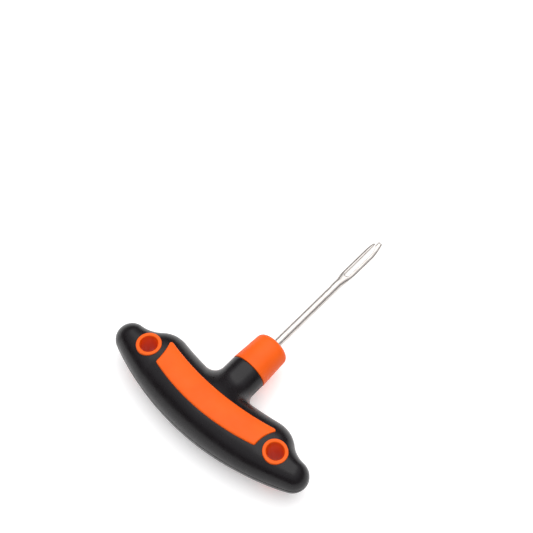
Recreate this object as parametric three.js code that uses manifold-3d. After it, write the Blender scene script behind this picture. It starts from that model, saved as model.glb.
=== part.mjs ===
// Tyre plug insertion tool: a T-handled needle that pushes a sticky repair cord through a tyre tread.
// Sizes are in millimetres. In the tool's own group +X runs along the handle, +Y along the needle towards
// its tip, and +Z out of the front face. The outer group then lays the tool on its back with the centre
// of its bounding box over the origin.
import * as THREE from 'three';
import { mergeVertices } from 'three/addons/utils/BufferGeometryUtils.js';
import { LoftGeometry } from 'three/addons/geometries/LoftGeometry.js';
import Module from 'manifold-3d';

const wasm = await Module();
wasm.setup();

// Driving dimensions ----------------------------------------------------------------------------------
const GAP = 0.3; // air left between two pieces that touch
const WALL = 3; // thickness of the grip shells

// Handle outline at mid thickness, all arcs tangent to the next
const PALM_R = 139; // convex edge that the palm pushes
const END_X = 52.3; // centre of the rounded handle end
const END_Y = 0.15;
const END_R = 7.7;
const DIP_R = 13.9; // hollow between the handle end and the shoulder
const SHOULDER_X = 33.2;
const SHOULDER_Y = 0.8;
const SHOULDER_R = 14.35;
const FINGER_R = 157.5; // long hollow on the finger side

// Handle thickness
const HALF_THICK = 15.1; // at the middle of the handle
const CROWN_R = 237; // radius of the crown along X
const FLAT_X = 7; // half length of the flat at the top of the crown, which lets the tool lie still
const FULLNESS = 2.15; // exponent of the rounded cross-section

// Neck that joins the handle to the nose collar
const NECK_R = 9.8;
const NECK_END_Y = 25.7;
const NECK_FILLET = 5.8;
const NECK_FILLET_Y = 19; // where the neck starts to flare towards the handle

// Orange inlay panels, one on each face
const INLAY_RAISE = 0.6; // how far a panel stands proud of the grip
const INLAY_FINGER_R = 120;
const INLAY_FINGER_Y = 3.9;
const INLAY_PALM_R = 106;
const INLAY_PALM_Y = -9.65;
const INLAY_END_R = 25; // hollow end beside the eyelet
const INLAY_END_X = 56.9;
const INLAY_END_Y = -3;
const INLAY_EAR_R = 1.1;
const INLAY_CORNER_R = 1;

// Eyelets for hanging the tool up
const EYELET_X = 41;
const EYELET_R = 6.2;
const EYELET_BORE_R = 4.4;
const EYELET_RAISE = 0.35;

// Nose collar
const COLLAR_BASE_R = 9.9;
const COLLAR_TIP_R = 9.05;
const COLLAR_END_Y = 44.5;
const COLLAR_ROUND = 3.1;
const COLLAR_WALL = 3.2;

// Needle
const SHANK_R = 2.15;
const TANG_END_Y = -8;
const HEAD_START_Y = 91.2;
const HEAD_FULL_Y = 96.8;
const HEAD_TAPER_Y = 112.5;
const TIP_Y = 121;
const SHORT_TIP_Y = 118.9;
const HEAD_HALF_W = 3;
const HEAD_THICK = 2.8;
const SLOT_HALF_W = 1.08;
const CHISEL_HALF_W = 1.1; // squared end of the long strand
const CHISEL_X = 0.2;
const BEND_Y = 118.2; // where the inside of the long strand has crossed to the other side
const BEND_X = -0.75;
const SHORT_TIP_X = -1.7;
const SHORT_TIP_HALF_W = 0.35;

// Cross pin and the pegs that line up the two core halves
const PIN_R = 1.1;
const PIN_LENGTH = 16;
const PEG_FOOT = 1; // how far a peg is sunk into its own half
const PEG_R = 2;
const PEG_HEIGHT = 3;
const PEG_PLACES = [[-25, 0], [25, 0], [-11, -8], [11, -8]];

const THROUGH = 2 * HALF_THICK + 10; // longer than anything that runs through the handle
const ROUND = 40; // sides of the large round pieces

// Solids ----------------------------------------------------------------------------------------------
function solid(geometry) {
  const bare = new THREE.BufferGeometry();
  bare.setAttribute('position', geometry.attributes.position);
  bare.setIndex(geometry.index);
  const merged = mergeVertices(bare);
  const index = merged.index.array;
  const triangles = [];
  for (let i = 0; i < index.length; i += 3) {
    const [a, b, c] = [index[i], index[i + 1], index[i + 2]];
    if (a !== b && b !== c && c !== a) triangles.push(a, b, c);
  }
  return new wasm.Manifold(new wasm.Mesh({
    numProp: 3,
    vertProperties: new Float32Array(merged.attributes.position.array),
    triVerts: new Uint32Array(triangles),
  }));
}

function geometryOf(manifold) {
  const mesh = manifold.getMesh();
  const geometry = new THREE.BufferGeometry();
  geometry.setAttribute('position', new THREE.BufferAttribute(new Float32Array(mesh.vertProperties), 3));
  geometry.setIndex(new THREE.BufferAttribute(new Uint32Array(mesh.triVerts), 1));
  geometry.computeVertexNormals();
  return geometry;
}

const union = (first, ...rest) => rest.reduce((sum, next) => sum.add(next), first);
const cut = (first, ...rest) => rest.reduce((sum, next) => sum.subtract(next), first);

function box(low, high) {
  const size = high.map((v, i) => v - low[i]);
  const geometry = new THREE.BoxGeometry(...size);
  geometry.translate(...low.map((v, i) => v + size[i] / 2));
  return solid(geometry);
}

// Cylinder along the axis 'x', 'y' or 'z', centred at (x, y, z)
function rod(radius, length, axis, [x, y, z], segments = 24) {
  const geometry = new THREE.CylinderGeometry(radius, radius, length, segments);
  if (axis === 'x') geometry.rotateZ(Math.PI / 2);
  if (axis === 'z') geometry.rotateX(Math.PI / 2);
  geometry.translate(x, y, z);
  return solid(geometry);
}

// Closed surface through a row of rings of points, capped at both ends
const loft = (rings) => solid(new LoftGeometry(rings, { capStart: true, capEnd: true }));

// Outlines --------------------------------------------------------------------------------------------
// The crossing of two circles, on the left of the way from the first centre to the second
function crossing([ax, ay], ar, [bx, by], br) {
  const d = Math.hypot(bx - ax, by - ay);
  const along = (ar * ar - br * br + d * d) / (2 * d);
  const across = Math.sqrt(ar * ar - along * along);
  const [ux, uy] = [(bx - ax) / d, (by - ay) / d];
  return [ax + along * ux - across * uy, ay + along * uy + across * ux];
}

// Closed outline of arcs, each tangent to the next. An arc is [x, y, r, turn], turn +1 anticlockwise and
// -1 clockwise; grow moves the whole outline outwards.
function arcOutline(arcs, grow) {
  const sized = arcs.map(([x, y, r, turn]) => ({ x, y, turn, r: r + turn * grow }));
  const joint = (a, b) => {
    const sign = a.turn === b.turn && a.r < b.r ? -1 : 1;
    return Math.atan2(sign * (b.y - a.y), sign * (b.x - a.x));
  };
  const shape = new THREE.Shape();
  sized.forEach((arc, i) => {
    const before = sized[(i + sized.length - 1) % sized.length];
    const after = sized[(i + 1) % sized.length];
    const start = joint(before, arc) + (before.turn === arc.turn ? 0 : Math.PI);
    shape.absarc(arc.x, arc.y, arc.r, start, joint(arc, after), arc.turn < 0);
  });
  return shape;
}

// Handle outline: y of the palm edge and of the finger edge at a distance x from the middle
const palmCentreY = END_Y + Math.sqrt((PALM_R - END_R) ** 2 - END_X ** 2);
const fingerCentreY = SHOULDER_Y + Math.sqrt((FINGER_R + SHOULDER_R) ** 2 - SHOULDER_X ** 2);
const [dipX, dipY] = crossing(
  [SHOULDER_X, SHOULDER_Y], SHOULDER_R + DIP_R,
  [END_X, END_Y], END_R + DIP_R,
);
const fingerToShoulderX = SHOULDER_X * FINGER_R / (FINGER_R + SHOULDER_R);
const shoulderToDipX = SHOULDER_X + (dipX - SHOULDER_X) * SHOULDER_R / (SHOULDER_R + DIP_R);
const dipToEndX = dipX + (END_X - dipX) * DIP_R / (DIP_R + END_R);
const palmToEndX = END_X * PALM_R / (PALM_R - END_R);

function palmEdge(x) {
  if (x < palmToEndX) return palmCentreY - Math.sqrt(PALM_R ** 2 - x * x);
  return END_Y - Math.sqrt(END_R ** 2 - (x - END_X) ** 2);
}

function fingerEdge(x) {
  if (x < fingerToShoulderX) return fingerCentreY - Math.sqrt(FINGER_R ** 2 - x * x);
  if (x < shoulderToDipX) return SHOULDER_Y + Math.sqrt(SHOULDER_R ** 2 - (x - SHOULDER_X) ** 2);
  if (x < dipToEndX) return dipY - Math.sqrt(DIP_R ** 2 - (x - dipX) ** 2);
  return END_Y + Math.sqrt(END_R ** 2 - (x - END_X) ** 2);
}

const halfThickness = (x) => HALF_THICK - x * x / (2 * CROWN_R);

// Handle ----------------------------------------------------------------------------------------------
const SLICES = 28; // points round a cross-section
const power = (v) => Math.sign(v) * Math.abs(v) ** (2 / FULLNESS);

function ring(place) {
  return Array.from({ length: SLICES }, (_, i) => new THREE.Vector3(...place(2 * Math.PI * i / SLICES)));
}

// The bar of the handle, made smaller all round by inset
function handleBar(inset) {
  const bodySteps = 9;
  const capSteps = 5;
  const lastTurn = 0.97 * Math.PI / 2; // the loft ends in a small flat, not in a point
  const stations = [];
  for (let i = 0; i <= bodySteps; i += 1) {
    stations.push({ x: FLAT_X + (END_X - FLAT_X) * i / bodySteps, turn: 0 });
  }
  for (let i = 1; i <= capSteps; i += 1) stations.push({ x: END_X, turn: lastTurn * i / capSteps });
  const section = ({ x, turn }, side) => {
    const edgeX = x + END_R * Math.sin(turn);
    const middle = (fingerEdge(edgeX) + palmEdge(edgeX)) / 2;
    const shrink = 1 - 2 * inset / (fingerEdge(x) - palmEdge(x));
    const halfWidth = shrink * (fingerEdge(edgeX) - palmEdge(edgeX)) / 2;
    const height = (halfThickness(x) - inset) * Math.cos(turn);
    const along = side * (x + (END_R - inset) * Math.sin(turn));
    return ring((angle) => [
      along,
      middle + halfWidth * power(Math.cos(angle)),
      height * power(Math.sin(angle)),
    ]);
  };
  const left = stations.map((station) => section(station, -1)).reverse();
  const right = stations.map((station) => section(station, 1));
  return loft([...left, ...right]);
}

// The neck from the middle of the bar to endY, round at the collar and flared along X at the bar
function neck(inset, endY) {
  const flareSteps = 5;
  const radius = NECK_R - inset;
  const sections = [[0, NECK_FILLET]];
  for (let i = flareSteps; i >= 0; i -= 1) {
    const turn = Math.PI / 2 * i / flareSteps;
    sections.push([NECK_FILLET_Y - NECK_FILLET * Math.sin(turn), NECK_FILLET * (1 - Math.cos(turn))]);
  }
  sections.push([endY, 0]);
  return loft(sections.map(([y, flare]) => ring((angle) => [
    (radius + flare) * Math.sin(angle),
    y,
    radius * Math.cos(angle),
  ])));
}

// Prism of the inlay outline through the whole handle
function inlayPrism(grow) {
  const palm = [0, INLAY_PALM_Y + INLAY_PALM_R];
  const finger = [0, INLAY_FINGER_Y + INLAY_FINGER_R];
  const hollow = [INLAY_END_X, INLAY_END_Y];
  const [earX, earY] = crossing(
    hollow, INLAY_END_R + INLAY_EAR_R,
    finger, INLAY_FINGER_R + INLAY_EAR_R,
  );
  const [cornerX, cornerY] = crossing(
    hollow, INLAY_END_R + INLAY_CORNER_R,
    palm, INLAY_PALM_R - INLAY_CORNER_R,
  );
  const shape = arcOutline([
    [...palm, INLAY_PALM_R, 1],
    [cornerX, cornerY, INLAY_CORNER_R, 1],
    [INLAY_END_X, INLAY_END_Y, INLAY_END_R, -1],
    [earX, earY, INLAY_EAR_R, 1],
    [...finger, INLAY_FINGER_R, -1],
    [-earX, earY, INLAY_EAR_R, 1],
    [-INLAY_END_X, INLAY_END_Y, INLAY_END_R, -1],
    [-cornerX, cornerY, INLAY_CORNER_R, 1],
  ], grow);
  const geometry = new THREE.ExtrudeGeometry(shape, {
    depth: THROUGH, bevelEnabled: false, curveSegments: 8,
  });
  geometry.translate(0, 0, -THROUGH / 2);
  return solid(geometry);
}

// Everything on one side of mid thickness, with half of the parting gap left out
function half(side) {
  const reach = 2 * TIP_Y; // past the whole tool
  return side > 0
    ? box([-reach, -reach, GAP / 2], [reach, reach, reach])
    : box([-reach, -reach, -reach], [reach, reach, -GAP / 2]);
}

const eyeletHole = (side, radius) => rod(radius, THROUGH, 'z', [side * EYELET_X, 0, 0], ROUND);
const eyeletHoles = (radius) => union(eyeletHole(1, radius), eyeletHole(-1, radius));
const yRod = (radius, fromY, toY) => rod(radius, toY - fromY, 'y', [0, (fromY + toY) / 2, 0]);

// Pieces ----------------------------------------------------------------------------------------------
const CORE_NECK_R = NECK_R - WALL - GAP;
const CORE_NECK_END_Y = COLLAR_END_Y - COLLAR_WALL - GAP;

// Half of the black grip: a shell round the core, open at the inlay, the eyelets and the collar
function gripShell(side) {
  const outside = union(handleBar(0), neck(0, NECK_END_Y));
  const inside = union(handleBar(WALL), yRod(NECK_R - WALL, 0, NECK_END_Y + 1));
  return cut(outside, inside, inlayPrism(GAP), eyeletHoles(EYELET_R + GAP)).intersect(half(side));
}

// Half of the rigid core that clamps the tang: pegs on the rear half, sockets in the front half
function coreHalf(side) {
  const body = union(handleBar(WALL + GAP), yRod(CORE_NECK_R, 0, CORE_NECK_END_Y));
  const tangSeat = yRod(SHANK_R + GAP, TANG_END_Y - GAP, CORE_NECK_END_Y + 1);
  const pinSeat = rod(PIN_R + GAP, PIN_LENGTH + 2 * GAP, 'x', [0, 0, 0]);
  const shaped = cut(body, tangSeat, pinSeat, eyeletHoles(EYELET_R + GAP)).intersect(half(side));
  const foot = -PEG_FOOT - GAP / 2;
  const peg = ([x, y], grow) => {
    const top = PEG_HEIGHT + grow;
    return rod(PEG_R + grow, top - foot, 'z', [x, y, (top + foot) / 2]);
  };
  return side > 0
    ? cut(shaped, ...PEG_PLACES.map((place) => peg(place, GAP)))
    : union(shaped, ...PEG_PLACES.map((place) => peg(place, 0)));
}

function inlay(side) {
  const skin = cut(handleBar(-INLAY_RAISE), handleBar(WALL));
  return inlayPrism(0).intersect(skin).intersect(half(side));
}

// Tube through the handle whose two end faces follow the slope of the crown
function eyelet(side) {
  const tube = cut(eyeletHole(side, EYELET_R), eyeletHole(side, EYELET_BORE_R));
  const trimmer = (flip) => {
    const block = new THREE.BoxGeometry(THROUGH, THROUGH, THROUGH);
    block.translate(0, 0, THROUGH / 2);
    block.rotateY(side * Math.asin(EYELET_X / CROWN_R));
    block.translate(side * EYELET_X, 0, halfThickness(EYELET_X) + EYELET_RAISE);
    if (flip) block.rotateX(Math.PI);
    return solid(block);
  };
  return cut(tube, trimmer(false), trimmer(true));
}

function noseCollar() {
  const baseY = NECK_END_Y + GAP;
  const boreR = CORE_NECK_R + GAP;
  const boreEndY = CORE_NECK_END_Y + GAP;
  const holeR = SHANK_R + GAP;
  const profile = [[boreR, baseY], [COLLAR_BASE_R, baseY]];
  const roundSteps = 5;
  for (let i = 0; i <= roundSteps; i += 1) {
    const turn = Math.PI / 2 * i / roundSteps;
    profile.push([
      COLLAR_TIP_R - COLLAR_ROUND * (1 - Math.cos(turn)),
      COLLAR_END_Y - COLLAR_ROUND * (1 - Math.sin(turn)),
    ]);
  }
  profile.push([holeR, COLLAR_END_Y], [holeR, boreEndY], [boreR, boreEndY], [boreR, baseY]);
  return solid(new THREE.LatheGeometry(profile.map(([r, y]) => new THREE.Vector2(r, y)), ROUND));
}

// Flattened head of the needle: two strands round an eye that is open at the tip. The strand on the +X
// side is longer and ends in a small chisel that leans over the eye; the other leans in beside it.
function needleHead() {
  const shape = new THREE.Shape();
  const shoulderY = HEAD_START_Y + 2;
  const leanY = HEAD_TAPER_Y + 5;
  const slotLeanY = HEAD_TAPER_Y + 3.4;
  shape.moveTo(-SHANK_R, HEAD_START_Y);
  shape.lineTo(SHANK_R, HEAD_START_Y);
  shape.quadraticCurveTo(HEAD_HALF_W, shoulderY, HEAD_HALF_W, HEAD_FULL_Y);
  shape.lineTo(HEAD_HALF_W, HEAD_TAPER_Y);
  shape.quadraticCurveTo(HEAD_HALF_W - 0.4, leanY, CHISEL_X + CHISEL_HALF_W, TIP_Y);
  shape.lineTo(CHISEL_X - CHISEL_HALF_W, TIP_Y);
  shape.lineTo(BEND_X, BEND_Y);
  shape.quadraticCurveTo(SLOT_HALF_W, slotLeanY, SLOT_HALF_W, HEAD_TAPER_Y);
  shape.lineTo(SLOT_HALF_W, HEAD_FULL_Y);
  shape.absarc(0, HEAD_FULL_Y, SLOT_HALF_W, 0, Math.PI, true);
  shape.lineTo(-SLOT_HALF_W, HEAD_TAPER_Y);
  shape.quadraticCurveTo(-SLOT_HALF_W, slotLeanY, SHORT_TIP_X + SHORT_TIP_HALF_W, SHORT_TIP_Y);
  shape.lineTo(SHORT_TIP_X - SHORT_TIP_HALF_W, SHORT_TIP_Y);
  shape.quadraticCurveTo(-HEAD_HALF_W, leanY, -HEAD_HALF_W, HEAD_TAPER_Y);
  shape.lineTo(-HEAD_HALF_W, HEAD_FULL_Y);
  shape.quadraticCurveTo(-HEAD_HALF_W, shoulderY, -SHANK_R, HEAD_START_Y);
  const geometry = new THREE.ExtrudeGeometry(shape, {
    depth: HEAD_THICK, bevelEnabled: false, curveSegments: 6,
  });
  geometry.translate(0, 0, -HEAD_THICK / 2);
  return solid(geometry);
}

function needle() {
  const taperLength = 3;
  const shankEndY = HEAD_START_Y + taperLength / 2;
  const shank = yRod(SHANK_R, TANG_END_Y, shankEndY);
  const taper = new THREE.CylinderGeometry(HEAD_THICK / 2, SHANK_R, taperLength, 24);
  taper.translate(0, shankEndY + taperLength / 2, 0);
  const pinHole = rod(PIN_R + GAP, PIN_LENGTH, 'x', [0, 0, 0]);
  return cut(union(shank, solid(taper), needleHead()), pinHole);
}

const crossPin = () => rod(PIN_R, PIN_LENGTH, 'x', [0, 0, 0]);

// Assembly --------------------------------------------------------------------------------------------
const FINISHES = {
  black: { color: 0x2f2d30, roughness: 0.5, metalness: 0 },
  orange: { color: 0xff7326, roughness: 0.42, metalness: 0 },
  nylon: { color: 0x8a8883, roughness: 0.6, metalness: 0 },
  nickel: { color: 0xd9d9d6, roughness: 0.14, metalness: 1 },
  steel: { color: 0x9a9a98, roughness: 0.35, metalness: 1 },
};

const pieces = [
  ['grip_front_shell', 'black', gripShell(1)],
  ['grip_rear_shell', 'black', gripShell(-1)],
  ['core_front_half', 'nylon', coreHalf(1)],
  ['core_rear_half', 'nylon', coreHalf(-1)],
  ['inlay_front', 'orange', inlay(1)],
  ['inlay_rear', 'orange', inlay(-1)],
  ['eyelet_left', 'orange', eyelet(-1)],
  ['eyelet_right', 'orange', eyelet(1)],
  ['nose_collar', 'orange', noseCollar()],
  ['needle', 'nickel', needle()],
  ['cross_pin', 'steel', crossPin()],
];

const tool = new THREE.Group();
pieces.forEach(([name, finish, shape]) => {
  const mesh = new THREE.Mesh(geometryOf(shape), new THREE.MeshStandardMaterial(FINISHES[finish]));
  mesh.name = name;
  tool.add(mesh);
});
tool.position.set(0, -(palmEdge(FLAT_X) + TIP_Y) / 2, halfThickness(FLAT_X) + INLAY_RAISE);

const root = new THREE.Group();
root.add(tool);

export default root;
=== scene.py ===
# Tyre plug insertion tool: a T-handled needle, lying on its back on a pale floor.
# The handle, inlays, eyelets, collar and needle are modelled here as fine meshes, in place of the faceted
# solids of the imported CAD. The two core halves and the cross pin inside are kept from the CAD.
# Shapes are worked out in the tool's own millimetres: +X along the handle, +Y along the needle to its tip,
# +Z out of the front face, with the origin in the middle of the hidden cross pin. place() takes them to
# metres of the row frame.
import math

import bpy
import numpy as np
from mathutils import Matrix, Vector
from mathutils.geometry import delaunay_2d_cdt


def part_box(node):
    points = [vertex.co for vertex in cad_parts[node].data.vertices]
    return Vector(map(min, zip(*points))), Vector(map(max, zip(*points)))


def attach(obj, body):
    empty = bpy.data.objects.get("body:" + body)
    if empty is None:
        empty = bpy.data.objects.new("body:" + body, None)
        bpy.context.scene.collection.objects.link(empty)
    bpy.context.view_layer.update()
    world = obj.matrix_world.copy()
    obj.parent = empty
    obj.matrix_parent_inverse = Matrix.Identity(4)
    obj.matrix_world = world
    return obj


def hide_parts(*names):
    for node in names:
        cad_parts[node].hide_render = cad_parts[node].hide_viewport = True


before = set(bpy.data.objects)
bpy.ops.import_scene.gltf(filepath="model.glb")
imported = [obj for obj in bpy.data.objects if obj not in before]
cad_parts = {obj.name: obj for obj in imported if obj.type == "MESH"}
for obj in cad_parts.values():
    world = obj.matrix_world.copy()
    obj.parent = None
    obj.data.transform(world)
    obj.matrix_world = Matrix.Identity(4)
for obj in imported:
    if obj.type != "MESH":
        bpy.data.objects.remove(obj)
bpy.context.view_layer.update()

# Driving dimensions, in millimetres -------------------------------------------------------------------
PALM_R = 139  # convex palm edge of the handle
END_X, END_Y, END_R = 52.6, 0.0, 7.8  # rounded handle end
DIP_R = 15.5  # hollow between the handle end and the shoulder on the finger side
SHOULDER_X, SHOULDER_Y, SHOULDER_R = 33.2, 0.8, 14.7
FINGER_R = 157.5  # long hollow on the finger side
HALF_THICK = 15.0
CROWN_R = 243  # crown of the faces along X
FULLNESS = 2.15  # exponent of the rounded cross-section
WALL = 3  # of the grip, the inlays' root and the collar's end
NECK_R = 9.8
NECK_END_Y = 25.75
NECK_END_ROUND = 0.45
NECK_FILLET = 6.0

SEAM = 0.14  # gap round the inlays and the eyelets
PARTING_DEPTH = 0.3  # groove where the two grip shells meet
PARTING_HALF_W = 0.3
PARTING_GAP = 0.02  # from the parting plane to each shell
INLAY_RAISE = 0.6
INLAY_FINGER = (0, 123.9, 120)  # x, y and radius of the inlay's finger edge
INLAY_PALM = (0, 96.35, 106)
INLAY_END = (56.9, -3, 25)  # centre and radius of the hollow end beside the eyelet
INLAY_EAR_R = 1.1
INLAY_CORNER_R = 1.0
INLAY_ROUND = 0.75  # rounding of the inlay's rim
INLAY_ROOT = 0.3  # how far the inlay's root stays above the inside of the grip's wall

EYELET_X = 41
EYELET_R = 6.2
EYELET_BORE_R = 4.4
EYELET_RAISE = 0.35

COLLAR_BASE_R = 9.9
COLLAR_TIP_R = 9.05
COLLAR_START_Y = 25.9
COLLAR_END_Y = 44.5
COLLAR_ROUND = 3.1

SHANK_R = 2.15
TANG_END_Y = -8
HEAD_START_Y, HEAD_FULL_Y, HEAD_TAPER_Y = 91.2, 96.8, 112.5  # starts to widen, is full, starts to narrow
LONG_START_Y, LONG_FULL_Y = 90.2, 101.5  # the long strand's side starts to widen, and is full
TIP_Y, SHORT_TIP_Y = 121, 118.9
HEAD_HALF_W = 3
HEAD_HALF_THICK = 1.4
TIP_HALF_W = 1
TIP_THINNING = 0.35  # off the half thickness, towards the tip
SLOT_HALF_W = 1.08
EYE_ROUND, EYE_ROUND_LOSS = 0.7, 0.45  # rounding of the eye's rim, and how much less it is at the tip

# Mesh spacings, in millimetres, and sides of a round surface
GRIP_SPACING = 0.5
CAVITY_SPACING = 1
OUTLINE_SPACING = 0.3
FILL_SPACING = 0.9
HEAD_SPACING = 0.15
SHANK_SPACING = 1.0
ROUND_SIDES = 96
SHARP_DEG = 35  # edges over this angle are left sharp

# Camera: place in design millimetres, the directions of its right and its back, lens, and shift
CAMERA_PLACE = (407.74, -432.91, 1301.94)
CAMERA_RIGHT = (0.73544, 0.67742, 0.01524)
CAMERA_BACK = (0.30004, -0.34573, 0.88907)
LENS, SENSOR_W = 202.63, 36
SHIFT_X, SHIFT_Y = -0.00094, 0.00094

# Studio: the sky's (height, colour) stops, its strength, the lamp in metres and watts, and the paper floor
SKY_STOPS = [(0, (0.05, 0.04, 0.03)), (0.36, (0.1, 0.08, 0.07)), (0.6, (0.8, 0.8, 0.83)), (0.9, (1, 1, 1))]
SKY_STRENGTH = 0.95
LAMP_PLACE, LAMP_SIZE, LAMP_POWER = (-0.1, 0.2, 1.2), 1.7, 14
FLOOR_HALF = 4
FLOOR_GREY, FLOOR_ROUGHNESS, FLOOR_GLOW = 0.9, 0.9, 0.3

MM = 0.001
FAR = 1e3  # stands for the depth of a point that an arc says nothing about
TINY = 1e-9  # keeps a division off zero
NOISE_LOW, NOISE_HIGH = 0.3, 0.7  # most of a noise texture's values lie between these
PIN_LOW, PIN_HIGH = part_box("cross_pin")
ORIGIN = np.array((PIN_LOW + PIN_HIGH) / 2)


def place(points):
    """Design millimetres to row-frame metres."""
    return ORIGIN + np.asarray(points, float) * MM


# Mesh helpers -----------------------------------------------------------------------------------------
def mesh_object(name, points, faces, sharp_deg=SHARP_DEG):
    """A smooth-shaded object from points in design millimetres, with edges over sharp_deg left sharp."""
    mesh = bpy.data.meshes.new(name)
    mesh.from_pydata(place(points).tolist(), [], [list(map(int, f)) for f in faces])
    mesh.validate()
    piece = bpy.data.objects.new(name, mesh)
    bpy.context.scene.collection.objects.link(piece)
    shade(piece, sharp_deg)
    return piece


def shade(piece, sharp_deg):
    """Smooth shading, with edges over sharp_deg left sharp."""
    piece.data.shade_smooth()
    piece.data.set_sharp_from_angle(angle=math.radians(sharp_deg))


def cut_away(piece, cutter):
    """Take the cutter's volume out of the piece and delete the cutter."""
    modifier = piece.modifiers.new("cut", "BOOLEAN")
    modifier.operation = "DIFFERENCE"
    modifier.solver = "MANIFOLD"
    modifier.object = cutter
    depsgraph = bpy.context.evaluated_depsgraph_get()
    cut = bpy.data.meshes.new_from_object(piece.evaluated_get(depsgraph))
    piece.modifiers.clear()
    piece.data = cut
    bpy.data.objects.remove(cutter)


def grid_faces(rows, columns):
    """Quads over a grid of rows of points, each row joined end to end."""
    faces = []
    for i in range(rows - 1):
        for j in range(columns):
            k = (j + 1) % columns
            faces.append((i * columns + j, i * columns + k, (i + 1) * columns + k, (i + 1) * columns + j))
    return faces


def ring_faces(rows, columns):
    """grid_faces, with the last row joined to the first as well."""
    last = (rows - 1) * columns
    faces = grid_faces(rows, columns)
    for j in range(columns):
        k = (j + 1) % columns
        faces.append((last + j, last + k, k, j))
    return faces


def lathe(name, profile):
    """A closed profile of (radius, y) turned round the Y axis."""
    angle = np.linspace(0, 2 * np.pi, ROUND_SIDES, endpoint=False)
    points = [
        (r * math.sin(a), y, r * math.cos(a))
        for r, y in profile
        for a in angle
    ]
    return mesh_object(name, points, ring_faces(len(profile), ROUND_SIDES))


def arc(x, y, radius, start_deg, end_deg, steps):
    """Points of an arc, both ends included."""
    turn = np.radians(np.linspace(start_deg, end_deg, steps + 1))
    return [(x + radius * math.cos(t), y + radius * math.sin(t)) for t in turn]


def surface_net(field, xs, ys, zs):
    """Closed quad mesh of field(x, y, z) = 0 over a rectilinear grid, field being negative inside."""
    grid = field(*np.meshgrid(xs, ys, zs, indexing="ij"))
    inside = grid < 0
    axes = (xs, ys, zs)
    cells = tuple(n - 1 for n in grid.shape)
    total = np.zeros(cells + (3,))
    count = np.zeros(cells)
    crossings = []
    for axis in range(3):
        low = [slice(None)] * 3
        high = [slice(None)] * 3
        low[axis], high[axis] = slice(None, -1), slice(1, None)
        a, b = grid[tuple(low)], grid[tuple(high)]
        index = np.argwhere(inside[tuple(low)] != inside[tuple(high)])
        va, vb = a[tuple(index.T)], b[tuple(index.T)]
        share = va / (va - vb)
        point = np.stack([axes[k][index[:, k]] for k in range(3)], axis=1).astype(float)
        step = axes[axis][index[:, axis] + 1] - axes[axis][index[:, axis]]
        point[:, axis] += share * step
        p, q = [k for k in range(3) if k != axis]
        for dp, dq in ((0, 0), (1, 0), (1, 1), (0, 1)):
            cell = index.copy()
            cell[:, p] -= dp
            cell[:, q] -= dq
            np.add.at(total, tuple(cell.T), point)
            np.add.at(count, tuple(cell.T), 1)
        crossings.append((index, va < 0, axis, p, q))
    used = count > 0
    number = np.full(cells, -1)
    number[used] = np.arange(used.sum())
    points = total[used] / count[used][:, None]
    faces = []
    for index, starts_inside, axis, p, q in crossings:
        corners = []
        for dp, dq in ((0, 0), (1, 0), (1, 1), (0, 1)):
            cell = index.copy()
            cell[:, p] -= dp
            cell[:, q] -= dq
            corners.append(number[tuple(cell.T)])
        quad = np.stack(corners, axis=1)
        outward = starts_inside == (axis != 1)
        quad[~outward] = quad[~outward][:, ::-1]
        faces.append(quad)
    return settle(field, points), np.concatenate(faces)


def settle(field, points):
    """Newton steps that bring points onto field = 0."""
    rounds, step = 4, 0.02
    least_slope, longest_move = 0.05, 0.3
    for _ in range(rounds):
        x, y, z = points.T
        value = field(x, y, z)
        slope = np.stack([
            field(x + step, y, z) - field(x - step, y, z),
            field(x, y + step, z) - field(x, y - step, z),
            field(x, y, z + step) - field(x, y, z - step),
        ], axis=1) / (2 * step)
        size = np.maximum((slope ** 2).sum(axis=1), least_slope)
        move = slope * (value / size)[:, None]
        points = points - np.clip(move, -longest_move, longest_move)
    return points


# Handle surface ---------------------------------------------------------------------------------------
def crossing(a, ar, b, br):
    """The crossing of two circles, on the left of the way from a to b."""
    d = math.dist(a, b)
    along = (ar * ar - br * br + d * d) / (2 * d)
    across = math.sqrt(ar * ar - along * along)
    ux, uy = (b[0] - a[0]) / d, (b[1] - a[1]) / d
    return a[0] + along * ux - across * uy, a[1] + along * uy + across * ux


END = (END_X, END_Y)
SHOULDER = (SHOULDER_X, SHOULDER_Y)
PALM = (0, END_Y + math.sqrt((PALM_R - END_R) ** 2 - END_X ** 2))
FINGER = (0, SHOULDER_Y + math.sqrt((FINGER_R + SHOULDER_R) ** 2 - SHOULDER_X ** 2))
DIP = crossing(SHOULDER, SHOULDER_R + DIP_R, END, END_R + DIP_R)


def sector_distance(x, y, centre, radius, start, end, convex):
    """Depth inside an arc's edge for points in its sector, and FAR for the others.
    start and end are directions, anticlockwise and less than half a turn apart."""
    px, py = x - centre[0], y - centre[1]
    within = (start[0] * py - start[1] * px >= 0) & (px * end[1] - py * end[0] >= 0)
    depth = radius - np.hypot(px, py)
    return np.where(within, depth if convex else -depth, FAR)


def towards(a, b):
    """The direction from point a to point b."""
    return b[0] - a[0], b[1] - a[1]


def outline_depth(x, y):
    """How far a point is inside the handle's outline at mid thickness; negative outside."""
    ax = np.abs(x)
    straight_down = (-1e-3, -1)  # a hair past it, so that x = 0 falls inside the sector
    arcs = [
        (PALM, PALM_R, straight_down, towards(PALM, END), True),
        (END, END_R, towards(PALM, END), towards(END, DIP), True),
        (DIP, DIP_R, towards(DIP, SHOULDER), towards(DIP, END), False),
        (SHOULDER, SHOULDER_R, towards(SHOULDER, DIP), towards(SHOULDER, FINGER), True),
        (FINGER, FINGER_R, straight_down, towards(FINGER, SHOULDER), False),
    ]
    best = np.full(np.shape(ax), FAR)
    for centre, radius, start, end, convex in arcs:
        depth = sector_distance(ax, y, centre, radius, start, end, convex)
        best = np.where(np.abs(depth) < np.abs(best), depth, best)
    return best


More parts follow.
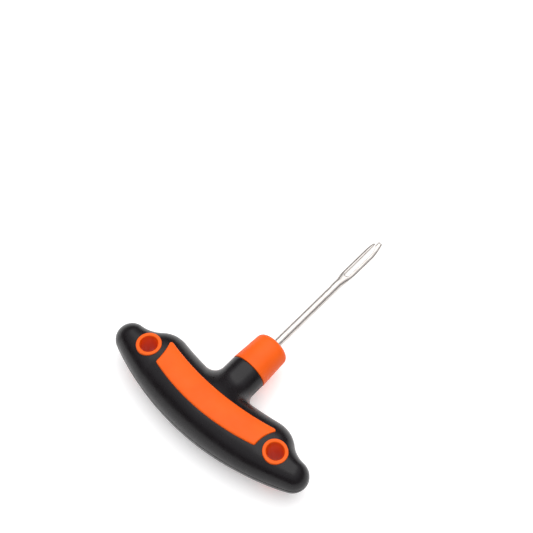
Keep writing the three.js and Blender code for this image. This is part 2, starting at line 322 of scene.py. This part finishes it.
def spine_table():
    """Half width of the handle at places along X: the depth of its deepest point there."""
    xs = np.linspace(0, END_X, 106)
    ys = np.linspace(-12, 8, 801)  # covers the middle of the bar
    return xs, outline_depth(xs[:, None], ys[None, :]).max(axis=1)


SPINE_X, SPINE_HALF_W = spine_table()


def half_width(x):
    return np.interp(np.abs(x), SPINE_X, SPINE_HALF_W)


def half_thickness(x):
    return HALF_THICK - x * x / (2 * CROWN_R)


def bar_field(x, y, z, grow=0.0):
    """Signed distance, near enough, to the bar of the handle made thicker all round by grow."""
    wide = half_width(x) + grow
    high = half_thickness(x) + grow
    v = np.maximum(1 - (outline_depth(x, y) + grow) / wide, 0)
    w = np.abs(z) / high
    rho = (v ** FULLNESS + w ** FULLNESS) ** (1 / FULLNESS)
    size = (v * v * wide + w * w * high) / (v * v + w * w + TINY)
    return (rho - 1) * size


def bar_height(x, y, grow=0.0):
    """Height of the bar's front face over a point of its outline."""
    wide = half_width(x) + grow
    v = np.clip(1 - (outline_depth(x, y) + grow) / wide, 0, 1)
    return (half_thickness(x) + grow) * (1 - v ** FULLNESS) ** (1 / FULLNESS)


def round_union(a, b, radius):
    """Union of two signed distances with a concave fillet."""
    u, v = np.maximum(radius - a, 0), np.maximum(radius - b, 0)
    return np.maximum(radius, np.minimum(a, b)) - np.hypot(u, v)


def round_intersection(a, b, radius):
    """Intersection of two signed distances with a rounded edge."""
    u, v = np.maximum(radius + a, 0), np.maximum(radius + b, 0)
    return np.minimum(-radius, np.maximum(a, b)) + np.hypot(u, v)


def grip_field(x, y, z):
    """The grip's outside: bar, neck and the groove at the parting plane."""
    neck = np.maximum(np.hypot(x, z) - NECK_R, -y)
    body = round_union(bar_field(x, y, z), neck, NECK_FILLET)
    body = round_intersection(body, y - NECK_END_Y, NECK_END_ROUND)
    groove = PARTING_DEPTH * np.clip(1 - np.abs(z) / PARTING_HALF_W, 0, 1)
    return body + groove


def cavity_field(x, y, z):
    """The room for the core inside the bar, and the bore of the neck, which runs out past its end."""
    bore = np.maximum(np.hypot(x, z) - (NECK_R - WALL), -y)
    return np.maximum(np.minimum(bar_field(x, y, z, -WALL), bore), y - NECK_END_Y - 2)


# Grip shells ------------------------------------------------------------------------------------------
def arc_outline(arcs, grow):
    """Closed outline of arcs, each tangent to the next. An arc is (x, y, radius, turn), turn +1
    anticlockwise and -1 clockwise. The point count comes from the arcs as given, before they grow."""
    sized = [(x, y, r + turn * grow, turn, r) for x, y, r, turn in arcs]

    def joint(a, b):
        sign = -1 if a[3] == b[3] and a[2] < b[2] else 1
        return math.atan2(sign * (b[1] - a[1]), sign * (b[0] - a[0]))

    points = []
    for i, (x, y, r, turn, full_r) in enumerate(sized):
        before, after = sized[i - 1], sized[(i + 1) % len(sized)]
        start = joint(before, sized[i]) + (0 if before[3] == turn else math.pi)
        sweep = (turn * (joint(sized[i], after) - start)) % (2 * math.pi)
        steps = max(6, round(full_r * sweep / OUTLINE_SPACING))
        for j in range(steps):
            angle = start + turn * sweep * j / steps
            points.append((x + r * math.cos(angle), y + r * math.sin(angle)))
    return points


def inlay_outline(grow):
    """The inlay's outline, made larger all round by grow."""
    ex, ey, er = INLAY_END
    fx, fy, fr = INLAY_FINGER
    px, py, pr = INLAY_PALM
    ear = crossing((ex, ey), er + INLAY_EAR_R, (fx, fy), fr + INLAY_EAR_R)
    corner = crossing((ex, ey), er + INLAY_CORNER_R, (px, py), pr - INLAY_CORNER_R)
    arcs = [
        (px, py, pr, 1),
        (*corner, INLAY_CORNER_R, 1),
        (ex, ey, er, -1),
        (*ear, INLAY_EAR_R, 1),
        (fx, fy, fr, -1),
        (-ear[0], ear[1], INLAY_EAR_R, 1),
        (-ex, ey, er, -1),
        (-corner[0], corner[1], INLAY_CORNER_R, 1),
    ]
    return arc_outline(arcs, grow)


def prism(name, outline, low, high):
    """A straight cutter through the outline."""
    n = len(outline)
    points = [(x, y, z) for z in (low, high) for x, y in outline]
    faces = grid_faces(2, n) + [tuple(range(n))[::-1], tuple(range(n, 2 * n))]
    return mesh_object(name, points, faces)


def circle(x, radius):
    return arc(x, 0, radius, 0, 360 * (ROUND_SIDES - 1) / ROUND_SIDES, ROUND_SIDES - 1)


def grip_grid():
    """Grid round the grip, with close levels of z at the parting groove."""
    flank = np.arange(0.6, 16.1, GRIP_SPACING)
    groove = np.array([0.0, 0.1, 0.2, 0.3, 0.42])
    zs = np.concatenate([-flank[::-1], -groove[:0:-1], groove, flank])
    return np.arange(-60.75, 61, GRIP_SPACING), np.arange(-19.25, 26.6, GRIP_SPACING), zs


def cavity_grid():
    """Coarse grid round the hidden cavity."""
    xs = np.arange(-58.5, 59, CAVITY_SPACING)
    ys = np.arange(-17.5, 29, CAVITY_SPACING)
    return xs, ys, np.arange(-14.5, 15, CAVITY_SPACING)


def grip_shells():
    """The two black shells: outside, less the room for the core, the inlays and the eyelets."""
    far, reach = 30, 90  # past the grip in Z, and in X and Y
    corners = [(-reach, -reach), (reach, -reach), (reach, reach), (-reach, reach)]
    outside = surface_net(grip_field, *grip_grid())
    inside = surface_net(cavity_field, *cavity_grid())
    shells = []
    for name, side in (("grip_front", 1), ("grip_rear", -1)):
        shell = mesh_object(name, *outside)
        cut_away(shell, mesh_object("cavity", *inside))
        cut_away(shell, prism("window", inlay_outline(SEAM), -far, far))
        for x in (-EYELET_X, EYELET_X):
            cut_away(shell, prism("hole", circle(x, EYELET_R + SEAM), -far, far))
        levels = (-far, PARTING_GAP) if side > 0 else (-PARTING_GAP, far)
        cut_away(shell, prism("other_half", corners, *levels))
        shade(shell, SHARP_DEG)
        shells.append(shell)
    return shells


# Inlays -----------------------------------------------------------------------------------------------
def inlay(name, side):
    """A panel that stands a little proud of the grip, with a rounded rim and a flat-walled root."""
    rim_steps = 7
    root_grow = INLAY_ROOT - WALL
    root = np.array(inlay_outline(0))
    n = len(root)
    rings = [np.column_stack([root, bar_height(*root.T, root_grow)])]
    for i in range(rim_steps + 1):
        turn = math.pi / 2 * i / rim_steps
        ring = np.array(inlay_outline(-INLAY_ROUND * (1 - math.cos(turn))))
        drop = INLAY_ROUND * (1 - math.sin(turn))
        rings.append(np.column_stack([ring, bar_height(*ring.T, INLAY_RAISE) - drop]))
    points = np.concatenate(rings)
    faces = grid_faces(len(rings), n)
    top, top_faces = filled(rings[-1][:, :2])
    first = len(points) - n
    faces += [tuple(first + i for i in f) for f in top_faces]
    low, low_faces = filled(root)
    base = len(points) + len(top) - n
    faces += [tuple(i if i < n else base + i - n for i in f)[::-1] for f in low_faces]
    top, low = top[n:], low[n:]
    top = np.column_stack([top, bar_height(*top.T, INLAY_RAISE)])
    low = np.column_stack([low, bar_height(*low.T, root_grow)])
    points = np.concatenate([points, top, low])
    if side < 0:
        points[:, 2] *= -1
        faces = [f[::-1] for f in faces]
    return mesh_object(name, points, faces, sharp_deg=50)


def filled(ring):
    """The ring's points, then a grid of points inside it, and triangles over them all."""
    n = len(ring)
    low, high = ring.min(axis=0), ring.max(axis=0)
    gx, gy = np.meshgrid(*(np.arange(low[k], high[k], FILL_SPACING) for k in (0, 1)))
    candidates = np.column_stack([gx.ravel(), gy.ravel()])
    inner = candidates[polygon_depth(candidates, ring) > FILL_SPACING / 2]
    everything = [Vector(p) for p in np.concatenate([ring, inner])]
    edges = [(i, (i + 1) % n) for i in range(n)]
    _, _, faces, origin, _, _ = delaunay_2d_cdt(everything, edges, [], 0, 1e-6, True)
    flat = np.concatenate([ring, inner])
    triangles = np.array([[origin[i][0] for i in f] for f in faces])
    middles = flat[triangles].mean(axis=1)
    return flat, triangles[polygon_depth(middles, ring) > 0].tolist()


def polygon_depth(points, ring):
    """Distance from points to a closed ring of points, negative outside."""
    a, b = ring, np.roll(ring, -1, axis=0)
    ab = b - a
    ap = points[:, None, :] - a[None]
    share = np.clip((ap * ab).sum(axis=2) / (ab * ab).sum(axis=1), 0, 1)
    gap = np.linalg.norm(ap - share[..., None] * ab, axis=2).min(axis=1)
    above = (a[None, :, 1] > points[:, None, 1]) != (b[None, :, 1] > points[:, None, 1])
    rise = np.where(ab[:, 1] == 0, 1e-12, ab[:, 1])
    cross_x = a[:, 0] + (points[:, None, 1] - a[:, 1]) * ab[:, 0] / rise
    inside = (above & (points[:, None, 0] < cross_x)).sum(axis=1) % 2 == 1
    return np.where(inside, gap, -gap)


# Eyelets ----------------------------------------------------------------------------------------------
def eyelet(name, side):
    """A tube through the handle with rounded rims; both end faces follow the slope of the crown."""
    slope = math.tan(math.asin(EYELET_X / CROWN_R))
    outer_round, inner_round = 0.35, 0.6
    wall_depth = -5.0  # a row of points in the straight walls, below the end face
    rim = [(EYELET_R, wall_depth)]
    rim += arc(EYELET_R - outer_round, -outer_round, outer_round, 0, 90, 5)
    rim += arc(EYELET_BORE_R + inner_round, -inner_round, inner_round, 90, 180, 7)
    rim += [(EYELET_BORE_R, wall_depth)]
    profile = [(r, 1, d) for r, d in rim] + [(r, -1, d) for r, d in rim[::-1]]
    points = []
    for r, face, depth in profile:
        for k in range(ROUND_SIDES):
            angle = 2 * math.pi * k / ROUND_SIDES
            x, y = r * math.cos(angle), r * math.sin(angle)
            top = half_thickness(EYELET_X) + EYELET_RAISE - slope * x * side
            points.append((side * EYELET_X + x, y, face * (top + depth)))
    return mesh_object(name, points, ring_faces(len(profile), ROUND_SIDES))


# Nose collar and needle -------------------------------------------------------------------------------
def nose_collar():
    """A tapered cap over the end of the neck, with a closed end that the needle passes through."""
    bore, hole = NECK_R - WALL, SHANK_R + 0.1
    base_round, bevel, row_spacing = 0.45, 0.25, 1.2
    round_start_y = COLLAR_END_Y - COLLAR_ROUND
    profile = [(bore, COLLAR_START_Y)]
    profile += arc(COLLAR_BASE_R - base_round, COLLAR_START_Y + base_round, base_round, -90, 0, 6)
    taper = (COLLAR_TIP_R - COLLAR_BASE_R) / (round_start_y - COLLAR_START_Y)
    for y in np.arange(COLLAR_START_Y + 1.5, round_start_y - 0.4, row_spacing):
        profile.append((COLLAR_BASE_R + taper * (y - COLLAR_START_Y), y))
    profile += arc(COLLAR_TIP_R - COLLAR_ROUND, round_start_y, COLLAR_ROUND, 0, 90, 16)
    profile += [(hole + bevel, COLLAR_END_Y), (hole, COLLAR_END_Y - bevel)]
    profile += [(hole, COLLAR_END_Y - WALL), (bore, COLLAR_END_Y - WALL)]
    return lathe("collar", profile)


def quadratic(a, b, c, steps=10):
    """Points of a curve from a towards c that b pulls aside, without c itself."""
    t = np.linspace(0, 1, steps + 1)[:-1, None]
    return ((1 - t) ** 2 * np.array(a) + 2 * t * (1 - t) * np.array(b) + t * t * np.array(c)).tolist()


def head_outlines():
    """Outline of the flattened head, and of the eye that splits it into a long and a short strand."""
    w, s = HEAD_HALF_W, SLOT_HALF_W
    back_y = HEAD_START_Y - 20  # well down the shank
    past_y = TIP_Y + 2  # past the tip, where the eye's outline is closed
    shoulder_y, lean_y, slot_lean_y = HEAD_START_Y + 2.6, HEAD_TAPER_Y + 5, HEAD_TAPER_Y + 3.4
    long_out, long_in = 1.3, -0.9  # sides of the long strand's blunt tip
    short_out, short_in = -2.05, -1.35  # sides of the short strand's tip
    outer = [(-SHANK_R, back_y), (SHANK_R, back_y)]
    outer += quadratic((SHANK_R, LONG_START_Y), (w - 0.1, HEAD_FULL_Y), (w, LONG_FULL_Y))
    outer += quadratic((w, HEAD_TAPER_Y), (w - 0.4, lean_y), (long_out, TIP_Y))
    outer += [(long_out, TIP_Y), (long_in, TIP_Y), (-0.95, SHORT_TIP_Y), (short_out, SHORT_TIP_Y)]
    outer += quadratic((short_out, SHORT_TIP_Y), (-w, lean_y), (-w, HEAD_TAPER_Y))[1:]
    outer += quadratic((-w, HEAD_FULL_Y), (-w, shoulder_y), (-SHANK_R, HEAD_START_Y))
    eye = [(short_in, past_y), (long_in, past_y), (long_in, TIP_Y)]
    eye += quadratic((-0.75, 118.2), (s, slot_lean_y), (s, HEAD_TAPER_Y))
    eye += arc(0, HEAD_FULL_Y, s, 0, -180, 16)
    eye += quadratic((-s, HEAD_TAPER_Y), (-s, slot_lean_y), (short_in, SHORT_TIP_Y))
    return np.array(outer), np.array(eye)


HEAD_OUTER, HEAD_EYE = head_outlines()


def smooth_step(value, start, end):
    """0 before start, 1 after end, and a smooth rise between."""
    t = np.clip((value - start) / (end - start), 0, 1)
    return t * t * (3 - 2 * t)


def needle_field(x, y, z):
    """The needle: round shank, head that flattens to an ellipse, less the eye with its rounded rim."""
    shape = np.shape(x)
    x, y, z = (np.ravel(v).astype(float) for v in (x, y, z))
    near = y > HEAD_START_Y - 4
    flat = np.column_stack([x[near], y[near]])
    depth = SHANK_R - np.abs(x)
    depth[near] = polygon_depth(flat, HEAD_OUTER)
    wide = SHANK_R + (HEAD_HALF_W - SHANK_R) * smooth_step(y, HEAD_START_Y, HEAD_FULL_Y)
    wide -= (HEAD_HALF_W - TIP_HALF_W) * smooth_step(y, HEAD_TAPER_Y, TIP_Y)
    high = SHANK_R - (SHANK_R - HEAD_HALF_THICK) * smooth_step(y, HEAD_START_Y - 2, HEAD_FULL_Y)
    high -= TIP_THINNING * smooth_step(y, HEAD_TAPER_Y, TIP_Y)
    v = np.maximum(1 - depth / wide, 0)
    w = np.abs(z) / high
    size = (v * v * wide + w * w * high) / (v * v + w * w + TINY)
    value = (np.hypot(v, w) - 1) * size
    value = np.maximum(value, TANG_END_Y - y)
    rounding = EYE_ROUND - EYE_ROUND_LOSS * smooth_step(y[near], HEAD_TAPER_Y, SHORT_TIP_Y)
    value[near] = round_intersection(value[near], polygon_depth(flat, HEAD_EYE), rounding)
    return value.reshape(shape)


def needle():
    across = np.arange(-3.3, 3.31, HEAD_SPACING)
    deep = np.arange(-2.4, 2.41, HEAD_SPACING)
    tang = [-8.4, -8.1, -7.9, -7.5]
    fine_from = 89
    shank = np.arange(-7, fine_from, SHANK_SPACING)
    along = np.concatenate([tang, shank, np.arange(fine_from, 121.6, HEAD_SPACING)])
    return mesh_object("needle_body", *surface_net(needle_field, across, along, deep))


# Camera, floor and light ------------------------------------------------------------------------------
def camera():
    """The photograph's camera."""
    data = bpy.data.cameras.new("camera")
    data.lens, data.sensor_width = LENS, SENSOR_W
    data.shift_x, data.shift_y = SHIFT_X, SHIFT_Y
    eye = bpy.data.objects.new("camera", data)
    bpy.context.scene.collection.objects.link(eye)
    right = Vector(CAMERA_RIGHT).normalized()
    back = Vector(CAMERA_BACK).normalized()
    up = back.cross(right).normalized()
    right = up.cross(back)
    turn = Matrix((right, up, back)).transposed().to_4x4()
    eye.matrix_world = Matrix.Translation(Vector(place(CAMERA_PLACE))) @ turn
    bpy.context.scene.camera = eye


def overhead_lamp():
    """A square soft box that points at the origin."""
    data = bpy.data.lights.new("overhead", "AREA")
    data.shape = "RECTANGLE"
    data.size, data.size_y = LAMP_SIZE, LAMP_SIZE
    data.energy = LAMP_POWER
    lamp = bpy.data.objects.new("overhead", data)
    bpy.context.scene.collection.objects.link(lamp)
    lamp.location = LAMP_PLACE
    lamp.rotation_euler = (-Vector(LAMP_PLACE)).to_track_quat("-Z", "Y").to_euler()


def sky():
    """Light from a big white tent: bright overhead, falling to a warm dark grey at the horizon."""
    world = bpy.data.worlds.new("world")
    world.use_nodes = True
    tree = world.node_tree
    direction = tree.nodes.new("ShaderNodeTexCoord")
    split = tree.nodes.new("ShaderNodeSeparateXYZ")
    tree.links.new(direction.outputs["Generated"], split.inputs["Vector"])
    tent = ramp(tree, split.outputs["Z"], SKY_STOPS)
    tree.links.new(tent, tree.nodes["Background"].inputs["Color"])
    tree.nodes["Background"].inputs["Strength"].default_value = SKY_STRENGTH
    bpy.context.scene.world = world


def studio():
    """Sky, lamp and a square of pale paper that glows a little."""
    sky()
    overhead_lamp()
    far = FLOOR_HALF
    mesh = bpy.data.meshes.new("floor")
    corners = [(-far, -far, 0), (far, -far, 0), (far, far, 0), (-far, far, 0)]
    mesh.from_pydata(corners, [], [(0, 1, 2, 3)])
    floor = bpy.data.objects.new("floor", mesh)
    bpy.context.scene.collection.objects.link(floor)
    paper, _, _ = shader_material("paper", {
        "Base Color": (FLOOR_GREY, FLOOR_GREY, FLOOR_GREY, 1),
        "Roughness": FLOOR_ROUGHNESS,
        "Emission Color": (1, 1, 1, 1),
        "Emission Strength": FLOOR_GLOW,
    })
    mesh.materials.append(paper)
    bpy.context.scene.view_settings.view_transform = "Standard"


# Materials --------------------------------------------------------------------------------------------
def shader_material(name, values):
    """A new material, its node tree and its shader, whose sockets are set to values."""
    material = bpy.data.materials.new(name)
    material.use_nodes = True
    shader = material.node_tree.nodes["Principled BSDF"]
    for socket, value in values.items():
        shader.inputs[socket].default_value = value
    return material, material.node_tree, shader


def noise(tree, scale, detail=3.0, roughness=0.55, stretch=(1, 1, 1)):
    """Noise over the piece's own metres, stretch multiplying the scale along each axis."""
    where = tree.nodes.new("ShaderNodeTexCoord")
    mapping = tree.nodes.new("ShaderNodeMapping")
    mapping.inputs["Scale"].default_value = stretch
    texture = tree.nodes.new("ShaderNodeTexNoise")
    texture.inputs["Scale"].default_value = scale
    texture.inputs["Detail"].default_value = detail
    texture.inputs["Roughness"].default_value = roughness
    tree.links.new(where.outputs["Object"], mapping.inputs["Vector"])
    tree.links.new(mapping.outputs["Vector"], texture.inputs["Vector"])
    return texture.outputs["Fac"]


def ramp(tree, value, stops):
    """A colour ramp over value; stops are (position, colour)."""
    node = tree.nodes.new("ShaderNodeValToRGB")
    elements = node.color_ramp.elements
    while len(elements) < len(stops):
        elements.new(0.5)
    for element, (position, colour) in zip(elements, stops):
        element.position = position
        element.color = (*colour, 1)
    tree.links.new(value, node.inputs["Fac"])
    return node.outputs["Color"]


def clouds(tree, value, dark, light):
    """A noise value turned into a colour from dark to light."""
    return ramp(tree, value, [(NOISE_LOW, dark), (NOISE_HIGH, light)])


def span(tree, value, low, high, from_low=NOISE_LOW, from_high=NOISE_HIGH):
    """value mapped from its usual range to low...high."""
    node = tree.nodes.new("ShaderNodeMapRange")
    node.inputs["From Min"].default_value = from_low
    node.inputs["From Max"].default_value = from_high
    node.inputs["To Min"].default_value = low
    node.inputs["To Max"].default_value = high
    tree.links.new(value, node.inputs["Value"])
    return node.outputs["Result"]


def bump(tree, height, distance, strength, under=None):
    """Normal of a bump map, laid over the bump map under."""
    node = tree.nodes.new("ShaderNodeBump")
    node.inputs["Distance"].default_value = distance
    node.inputs["Strength"].default_value = strength
    tree.links.new(height, node.inputs["Height"])
    if under is not None:
        tree.links.new(under, node.inputs["Normal"])
    return node.outputs["Normal"]


def edge_wear(tree, colour, worn, low, high):
    """Mix a worn colour in where the surface is sharply convex, broken up by noise."""
    bend = tree.nodes.new("ShaderNodeNewGeometry")
    broken = tree.nodes.new("ShaderNodeMath")
    broken.operation = "MULTIPLY"
    tree.links.new(span(tree, bend.outputs["Pointiness"], 0, 1, low, high), broken.inputs[0])
    tree.links.new(span(tree, noise(tree, scale=500, detail=4), 0.1, 0.9), broken.inputs[1])
    mix = tree.nodes.new("ShaderNodeMix")
    mix.data_type = "RGBA"
    mix.inputs["B"].default_value = (*worn, 1)
    tree.links.new(broken.outputs["Value"], mix.inputs["Factor"])
    tree.links.new(colour, mix.inputs["A"])
    return mix.outputs["Result"]


def moulded(name, dark, light, worn, rough, grain, specular):
    """Satin moulded plastic: slight clouding of the colour, a fine grain and faint flow waviness."""
    material, tree, shader = shader_material(name, {"Specular IOR Level": specular})
    colour = clouds(tree, noise(tree, scale=90, detail=3), dark, light)
    colour = edge_wear(tree, colour, worn, low=0.53, high=0.62)
    tree.links.new(colour, shader.inputs["Base Color"])
    patches = noise(tree, scale=260, detail=4)
    tree.links.new(span(tree, patches, rough - 0.05, rough + 0.05), shader.inputs["Roughness"])
    waves = bump(tree, noise(tree, scale=120, detail=1), distance=0.00006, strength=0.35)
    grains = noise(tree, scale=3200, detail=2)
    surface = bump(tree, grains, distance=grain, strength=0.5, under=waves)
    tree.links.new(surface, shader.inputs["Normal"])
    return material


def plated_steel():
    """Bright nickel plate with fine drawing lines along the needle and a little handling haze."""
    material, tree, shader = shader_material("nickel_plate", {"Metallic": 1.0})
    colour = clouds(tree, noise(tree, scale=300, detail=3), (0.52, 0.48, 0.45), (0.64, 0.61, 0.58))
    colour = edge_wear(tree, colour, (0.8, 0.78, 0.75), low=0.55, high=0.7)
    tree.links.new(colour, shader.inputs["Base Color"])
    tree.links.new(span(tree, noise(tree, scale=700, detail=4), 0.3, 0.42), shader.inputs["Roughness"])
    lines = noise(tree, scale=4000, detail=2, stretch=(1, 0.02, 1))
    tree.links.new(bump(tree, lines, distance=0.000008, strength=0.5), shader.inputs["Normal"])
    return material


def hidden_nylon():
    """Plain grey nylon of the core, dull and a little mottled."""
    material, tree, shader = shader_material("core_nylon", {"Roughness": 0.6})
    mottle = clouds(tree, noise(tree, scale=150), (0.21, 0.205, 0.19), (0.28, 0.275, 0.26))
    tree.links.new(mottle, shader.inputs["Base Color"])
    grain = bump(tree, noise(tree, scale=2400), distance=0.00003, strength=0.4)
    tree.links.new(grain, shader.inputs["Normal"])
    return material


def drawn_steel():
    """Plain drawn steel of the cross pin."""
    material, tree, shader = shader_material("pin_steel", {"Metallic": 1.0})
    streaks = noise(tree, scale=2500, detail=2, stretch=(0.02, 1, 1))
    colour = clouds(tree, streaks, (0.38, 0.38, 0.38), (0.52, 0.52, 0.51))
    tree.links.new(colour, shader.inputs["Base Color"])
    tree.links.new(span(tree, streaks, 0.28, 0.42), shader.inputs["Roughness"])
    return material


BLACK = moulded(
    "black_plastic",
    dark=(0.0068, 0.0056, 0.0068),
    light=(0.0098, 0.0082, 0.0098),
    worn=(0.02, 0.018, 0.018),
    rough=0.29,
    grain=0.00002,
    specular=0.26,
)
ORANGE = moulded(
    "orange_plastic",
    dark=(0.86, 0.105, 0.003),
    light=(0.9, 0.12, 0.005),
    worn=(0.95, 0.2, 0.03),
    rough=0.5,
    grain=0.000015,
    specular=0.22,
)
NICKEL = plated_steel()
NYLON = hidden_nylon()
STEEL = drawn_steel()


def coat(piece, material):
    """Give the piece this material alone."""
    piece.data.materials.clear()
    piece.data.materials.append(material)


def finish_piece(piece, material, node):
    """Coat a piece and say what it rides on and the CAD node that it replaces."""
    coat(piece, material)
    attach(piece, "root")
    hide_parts(node)


# Assembly ---------------------------------------------------------------------------------------------
camera()
studio()
front, rear = grip_shells()
finish_piece(front, BLACK, "grip_front_shell")
finish_piece(rear, BLACK, "grip_rear_shell")
finish_piece(inlay("inlay_front_panel", 1), ORANGE, "inlay_front")
finish_piece(inlay("inlay_rear_panel", -1), ORANGE, "inlay_rear")
finish_piece(eyelet("eyelet_left_tube", -1), ORANGE, "eyelet_left")
finish_piece(eyelet("eyelet_right_tube", 1), ORANGE, "eyelet_right")
finish_piece(nose_collar(), ORANGE, "nose_collar")
finish_piece(needle(), NICKEL, "needle")
for node in ("core_front_half", "core_rear_half"):
    coat(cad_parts[node], NYLON)
coat(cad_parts["cross_pin"], STEEL)
